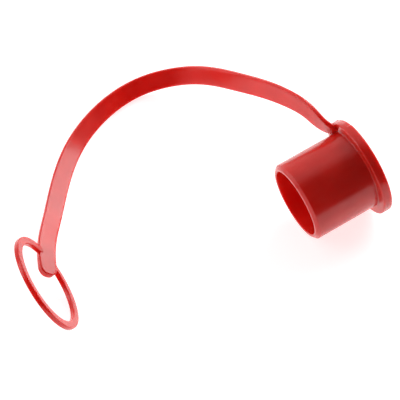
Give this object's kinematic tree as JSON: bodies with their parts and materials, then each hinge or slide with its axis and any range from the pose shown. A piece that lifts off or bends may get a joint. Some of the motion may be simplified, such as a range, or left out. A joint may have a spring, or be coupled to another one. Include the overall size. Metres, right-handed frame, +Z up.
{
  "type": "threaded protection cap",
  "caption": "Soft red push-on protection cap: round cup with a flange at its closed end, a flat bowed strap and a retaining ring with a rounded tongue.",
  "frame": {"origin": "on the table, under the middle of the part's bounding box", "axes": "+X from the ring to the cap, +Y towards the strap's bow, +Z up from the table"},
  "size_m": [0.12, 0.112, 0.0339],
  "materials": {
    "soft_pvc": "glossy soft PVC, slightly see-through"
  },
  "bodies": {
    "root": {"protection_cap": "soft_pvc"}
  },
  "joints": []
}
